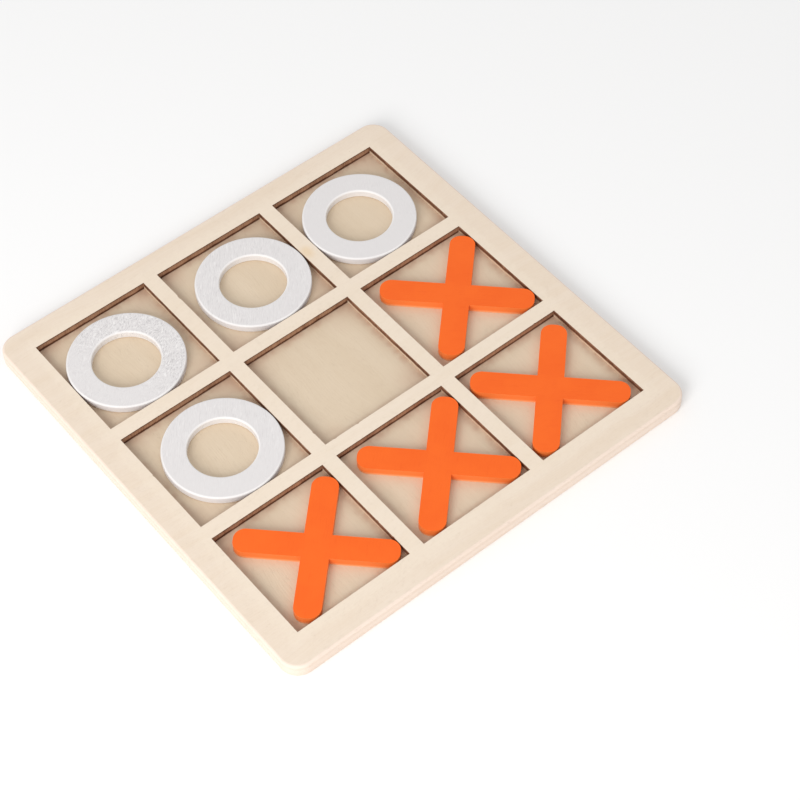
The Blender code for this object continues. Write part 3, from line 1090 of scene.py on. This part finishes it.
def sheet_edge_levels(low, high, low_rounding, high_rounding, groove):
    """(height, inset) pairs up the edge of a plywood sheet: rounded at both faces, with a fine
    groove between each two plies."""
    arc_steps = 5
    groove_half = 0.05 * MM
    levels = []
    for step in range(arc_steps + 1):
        angle = math.pi / 2 * step / arc_steps
        levels.append((low + low_rounding * (1 - math.cos(angle)), low_rounding * (1 - math.sin(angle))))
    for ply in range(1, PLIES):
        joint = low + (high - low) * ply / PLIES
        levels += [(joint - groove_half, 0.0), (joint, groove), (joint + groove_half, 0.0)]
    for step in range(arc_steps, -1, -1):
        angle = math.pi / 2 * step / arc_steps
        levels.append((high - high_rounding * (1 - math.cos(angle)), high_rounding * (1 - math.sin(angle))))
    return levels


def sheet_mesh(name, board, levels, seed):
    """A rounded square sheet. Its faces take material slot 0 and its edge takes slot 1."""
    outline = rounded_square(BOARD_SIDE, board.corner_radius, OUTLINE_SPACING, CORNER_STEPS)
    shape = bmesh.new()
    rings = []
    for height, inset in levels:
        ring = []
        for spot, out in outline:
            wave = noise.noise(Vector((spot.x, spot.y, 0.3 * height + seed)) * WOBBLES_PER_METRE)
            strays = board.sanding_wobble * (wave - 1) / 2
            at = spot - out * (inset - strays)
            ring.append(shape.verts.new((at.x, at.y, height)))
        rings.append(ring)
    count = len(outline)
    for lower, upper in zip(rings, rings[1:]):
        for i in range(count):
            j = (i + 1) % count
            face = shape.faces.new((lower[i], lower[j], upper[j], upper[i]))
            face.material_index = 1
            face.smooth = True
    caps = (shape.faces.new(list(reversed(rings[0]))), shape.faces.new(rings[-1]))
    for cap in caps:
        for edge in cap.edges:
            edge.smooth = False
    mesh = bpy.data.meshes.new(name)
    shape.to_mesh(mesh)
    shape.free()
    return mesh


def hand_over(piece, body, node):
    """Gives a finished piece to the frame: it rides on a body and stands for a solid."""
    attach(piece, body)
    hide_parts(node)


def node_body(node):
    bodies = frame["record"]["behaviour"]["bodies"]
    return next(body for body, members in bodies.items() if node in members)


def node_centre(node):
    """The middle of a node's box, at the height of the panel's surface."""
    low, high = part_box(node)
    return Vector(((low.x + high.x) / 2, (low.y + high.y) / 2, SHEET_SEAM))


# ---------------------------------------------------------------------------------------------
# Operators
# ---------------------------------------------------------------------------------------------


class NOUGHTS_OT_add_stage(bpy.types.Operator):
    """Add the floor, the soft key light, the even surroundings and the camera"""

    bl_idname = "noughts.add_stage"
    bl_label = "Add Stage"

    def execute(self, context):
        stage = context.scene.noughts_stage
        self.add_floor(stage)
        self.add_lights(context, stage)
        self.add_camera(context, stage)
        return {"FINISHED"}

    def add_floor(self, stage):
        shape = bmesh.new()
        bmesh.ops.create_grid(shape, x_segments=1, y_segments=1, size=stage.floor_side / 2)
        mesh = bpy.data.meshes.new("floor")
        shape.to_mesh(mesh)
        shape.free()
        mesh.materials.append(make_floor_material(stage))
        add_piece("floor", mesh)

    def add_lights(self, context, stage):
        world = bpy.data.worlds.new("even_surroundings")
        world.use_nodes = True
        background = world.node_tree.nodes["Background"]
        background.inputs["Color"].default_value = (1.0, 1.0, 1.0, 1.0)
        background.inputs["Strength"].default_value = stage.fill
        context.scene.world = world
        light = bpy.data.lights.new("key_light", "AREA")
        light.shape = "SQUARE"
        light.size = stage.key_side
        light.energy = stage.key_power
        light.color = KEY_COLOUR
        key = bpy.data.objects.new("key_light", light)
        context.scene.collection.objects.link(key)
        flat = math.cos(stage.key_elevation)
        towards = Vector((
            flat * math.cos(stage.key_azimuth), flat * math.sin(stage.key_azimuth),
            math.sin(stage.key_elevation),
        ))
        key.location = Vector((0, 0, GRID_HIGH.z)) + towards * stage.key_distance
        key.rotation_euler = towards.to_track_quat("Z", "Y").to_euler()

    def add_camera(self, context, stage):
        data = bpy.data.cameras.new("camera")
        data.lens = stage.lens
        data.sensor_width = SENSOR_WIDTH
        data.dof.use_dof = False
        data.clip_start = NEAR_CLIP
        camera = bpy.data.objects.new("camera", data)
        context.scene.collection.objects.link(camera)
        flat = math.cos(stage.view_elevation)
        back = -Vector((
            flat * math.sin(stage.view_azimuth), flat * math.cos(stage.view_azimuth),
            -math.sin(stage.view_elevation),
        ))
        aim = Vector((stage.aim_x, stage.aim_y, GRID_HIGH.z))
        turn = back.to_track_quat("Z", "Y").to_matrix().to_4x4()
        roll = Matrix.Rotation(stage.view_roll, 4, "Z")
        camera.matrix_world = Matrix.Translation(aim + back * stage.view_distance) @ turn @ roll
        context.scene.camera = camera
        context.scene.view_settings.view_transform = "Standard"


class NOUGHTS_OT_add_panel(bpy.types.Operator):
    """Add the solid plywood back of the board"""

    bl_idname = "noughts.add_panel"
    bl_label = "Add Back Panel"

    def execute(self, context):
        board = context.scene.noughts_board
        levels = sheet_edge_levels(
            PANEL_LOW.z, PANEL_TOP, board.face_rounding, board.seam_rounding, board.groove_depth
        )
        mesh = sheet_mesh("back_panel", board, levels, 0.0)
        mesh.materials.append(make_panel_face_material(board))
        mesh.materials.append(make_ply_edge_material("panel_ply_edge", board, PANEL_LOW.z, PANEL_TOP))
        face_outward(mesh)
        store_edge_attributes(mesh)
        hand_over(add_piece("back_panel", mesh), BOARD_BODY, "base_panel")
        return {"FINISHED"}


class NOUGHTS_OT_add_grid(bpy.types.Operator):
    """Add the plywood grid with its nine laser-cut recesses"""

    bl_idname = "noughts.add_grid"
    bl_label = "Add Recess Grid"

    def execute(self, context):
        board = context.scene.noughts_board
        levels = sheet_edge_levels(
            SHEET_SEAM, GRID_HIGH.z, board.seam_rounding, board.face_rounding, board.groove_depth
        )
        mesh = sheet_mesh("recess_grid", board, levels, 3.0)
        mesh.materials.append(make_grid_face_material(board))
        mesh.materials.append(make_ply_edge_material("grid_ply_edge", board, SHEET_SEAM, GRID_HIGH.z))
        grid = add_piece("recess_grid", mesh)
        cutter = add_piece("recess_cutter", self.cutter_mesh(board))
        cut = grid.modifiers.new("recesses", "BOOLEAN")
        cut.operation = "DIFFERENCE"
        cut.solver = "EXACT"
        cut.material_mode = "TRANSFER"
        cut.object = cutter
        apply_modifiers(grid)
        bpy.data.objects.remove(cutter, do_unlink=True)
        face_outward(grid.data)
        store_edge_attributes(grid.data)
        hand_over(grid, BOARD_BODY, "grid_frame")
        return {"FINISHED"}

    def cutter_mesh(self, board):
        past = 0.5 * MM
        mesh = mesh_from_tree(make_recess_tree(), "recess_cutter", {
            "Cell Side": CELL_SIDE,
            "Cell Pitch": CELL_PITCH,
            "Centre": tuple(RECESS_CENTRE),
            "Bottom": SHEET_SEAM - past,
            "Top": GRID_HIGH.z + past,
            "Lip": GRID_HIGH.z,
            "Wall Columns": board.wall_columns,
            "Wall Rows": board.wall_rows,
            "Striation Pitch": board.striation_pitch,
            "Striation Depth": board.striation_depth,
            "Nick Depth": board.nick_depth,
            "Material": make_scorched_wall_material(board),
        })
        face_outward(mesh)
        return mesh


class NOUGHTS_OT_add_noughts(bpy.types.Operator):
    """Add the white painted rings"""

    bl_idname = "noughts.add_noughts"
    bl_label = "Add Noughts"

    def execute(self, context):
        nought = context.scene.noughts_nought
        tree = make_nought_tree()
        for number, node in enumerate(NOUGHT_NODES):
            centre = node_centre(node)
            grain = NOUGHT_GRAIN[number % len(NOUGHT_GRAIN)]
            paint = make_white_paint_material(f"white_paint_{number + 1}", nought, centre, grain)
            mesh = mesh_from_tree(tree, node + "_painted", {
                "Outer Radius": (NOUGHT_HIGH.x - NOUGHT_LOW.x) / 2,
                "Band Width": nought.band_width,
                "Thickness": NOUGHT_HIGH.z - SHEET_SEAM,
                "Edge Rounding": nought.edge_rounding,
                "Turn Steps": nought.turn_steps,
                "Section Steps": nought.section_steps,
                "Relief": nought.relief,
                "Seed": 0.1 * (number + 1),
                "Material": paint,
            })
            mesh.transform(Matrix.Translation(centre))
            face_outward(mesh)
            store_edge_attributes(mesh)
            hand_over(add_piece(node + "_painted", mesh), node_body(node), node)
        return {"FINISHED"}


class NOUGHTS_OT_add_crosses(bpy.types.Operator):
    """Add the orange painted crosses"""

    bl_idname = "noughts.add_crosses"
    bl_label = "Add Crosses"

    def execute(self, context):
        cross = context.scene.noughts_cross
        tree = make_cross_tree()
        for number, node in enumerate(CROSS_NODES):
            centre = node_centre(node)
            brushing = CROSS_BRUSHING[number % len(CROSS_BRUSHING)]
            paint = make_orange_paint_material(f"orange_paint_{number + 1}", cross, centre, brushing)
            mesh = mesh_from_tree(tree, node + "_painted", {
                "Overall Width": CROSS_HIGH.x - CROSS_LOW.x,
                "Arm Width": cross.arm_width,
                "End Radius": cross.end_radius,
                "Thickness": CROSS_HIGH.z - SHEET_SEAM,
                "End Steps": cross.end_steps,
                "Material": paint,
            })
            mesh.transform(Matrix.Translation(centre))
            piece = add_piece(node + "_painted", mesh)
            self.round_edges(piece, cross)
            face_outward(piece.data)
            store_edge_attributes(piece.data)
            hand_over(piece, node_body(node), node)
        return {"FINISHED"}

    def round_edges(self, piece, cross):
        piece.data.shade_smooth()
        bevel = piece.modifiers.new("edge_rounding", "BEVEL")
        bevel.width = cross.edge_rounding
        bevel.segments = CROSS_EDGE_STEPS
        bevel.limit_method = "ANGLE"
        bevel.angle_limit = SHARPEST_SMOOTH_EDGE
        bevel.harden_normals = True
        apply_modifiers(piece)


class NOUGHTS_PT_sidebar(bpy.types.Panel):
    """Lists the steps that make the set, with their settings"""

    bl_idname = "NOUGHTS_PT_sidebar"
    bl_label = "Noughts and Crosses"
    bl_space_type = "VIEW_3D"
    bl_region_type = "UI"
    bl_category = "Noughts and Crosses"

    def draw(self, context):
        for operator, settings in STEPS:
            box = self.layout.box()
            box.operator(operator.bl_idname)
            group = getattr(context.scene, settings)
            for name in group.bl_rna.properties.keys():
                if name not in ("rna_type", "name"):
                    box.prop(group, name)


# The operators in the order they run, and where the scene holds the settings of each.
STEPS = (
    (NOUGHTS_OT_add_stage, "noughts_stage"),
    (NOUGHTS_OT_add_panel, "noughts_board"),
    (NOUGHTS_OT_add_grid, "noughts_board"),
    (NOUGHTS_OT_add_noughts, "noughts_nought"),
    (NOUGHTS_OT_add_crosses, "noughts_cross"),
)
SETTINGS = {
    "noughts_stage": StageSettings,
    "noughts_board": BoardSettings,
    "noughts_nought": NoughtSettings,
    "noughts_cross": CrossSettings,
}


def register():
    for settings in SETTINGS.values():
        bpy.utils.register_class(settings)
    for operator, _ in STEPS:
        bpy.utils.register_class(operator)
    bpy.utils.register_class(NOUGHTS_PT_sidebar)
    for name, settings in SETTINGS.items():
        setattr(bpy.types.Scene, name, PointerProperty(type=settings))


def unregister():
    for name in SETTINGS:
        delattr(bpy.types.Scene, name)
    bpy.utils.unregister_class(NOUGHTS_PT_sidebar)
    for operator, _ in reversed(STEPS):
        bpy.utils.unregister_class(operator)
    for settings in reversed(list(SETTINGS.values())):
        bpy.utils.unregister_class(settings)


def main():
    register()
    for operator, _ in STEPS:
        group, name = operator.bl_idname.split(".")
        getattr(getattr(bpy.ops, group), name)()


if __name__ == "__main__":
    main()
